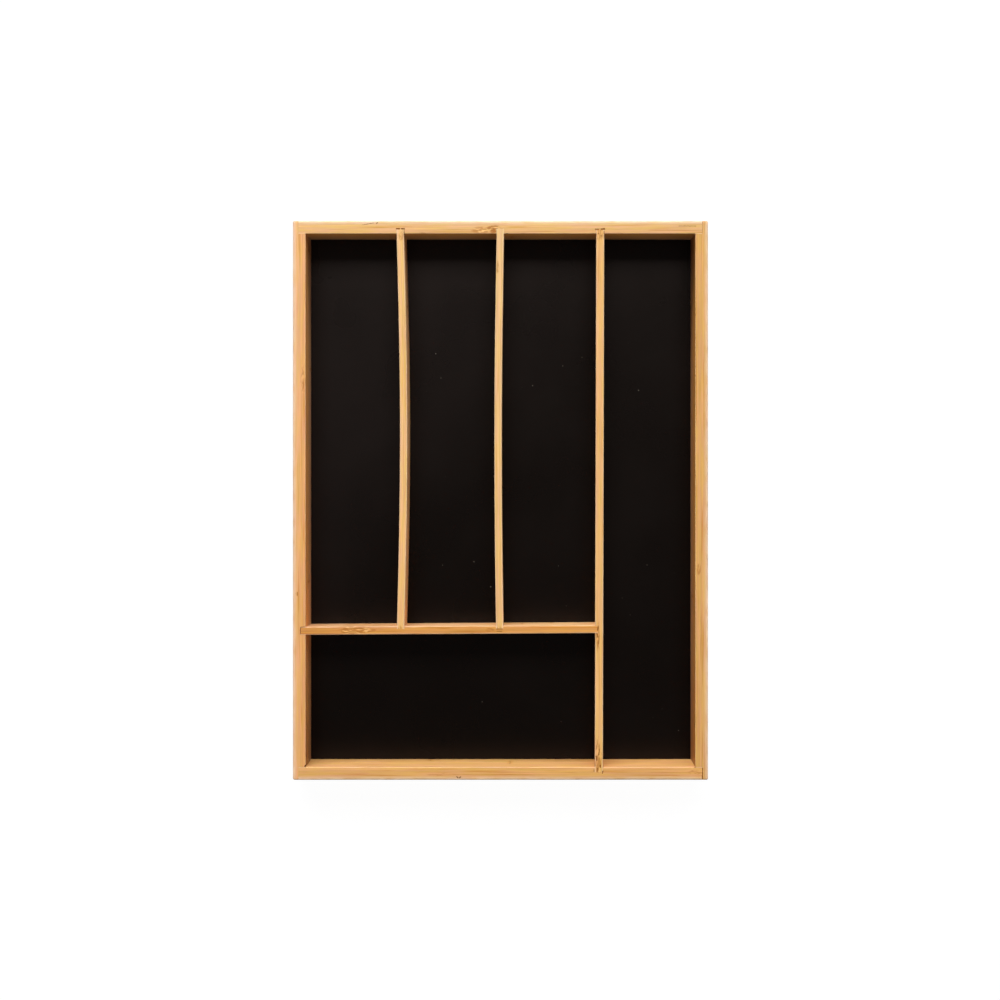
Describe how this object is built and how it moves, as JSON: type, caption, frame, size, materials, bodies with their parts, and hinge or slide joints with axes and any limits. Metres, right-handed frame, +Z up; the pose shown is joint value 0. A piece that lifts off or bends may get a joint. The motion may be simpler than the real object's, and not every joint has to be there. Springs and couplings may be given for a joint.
{
  "type": "cutlery tray",
  "caption": "Low open bamboo cutlery tray for a drawer: rabbeted frame, thin housed dividers and a black base board, with long bays and a short cross bay.",
  "frame": {"origin": "middle of the underside, on the surface that the tray stands on", "axes": "+Z up, +Y along the long compartments towards the back wall, +X towards the full-length compartment on the right"},
  "size_m": [0.26, 0.35, 0.05],
  "materials": {
    "bamboo_frame": "laminated bamboo, fine straight grain, clear satin lacquer",
    "bamboo_divider": "thin laminated bamboo slat, fine straight grain, clear satin lacquer",
    "black_board": "thin fibreboard, near-black satin coating"
  },
  "bodies": {
    "root": {"left_wall": "bamboo_frame", "right_wall": "bamboo_frame", "back_wall": "bamboo_frame", "front_wall": "bamboo_frame", "base_panel": "black_board", "divider_left": "bamboo_divider", "divider_middle": "bamboo_divider", "divider_right": "bamboo_divider", "cross_divider": "bamboo_divider"}
  },
  "joints": []
}
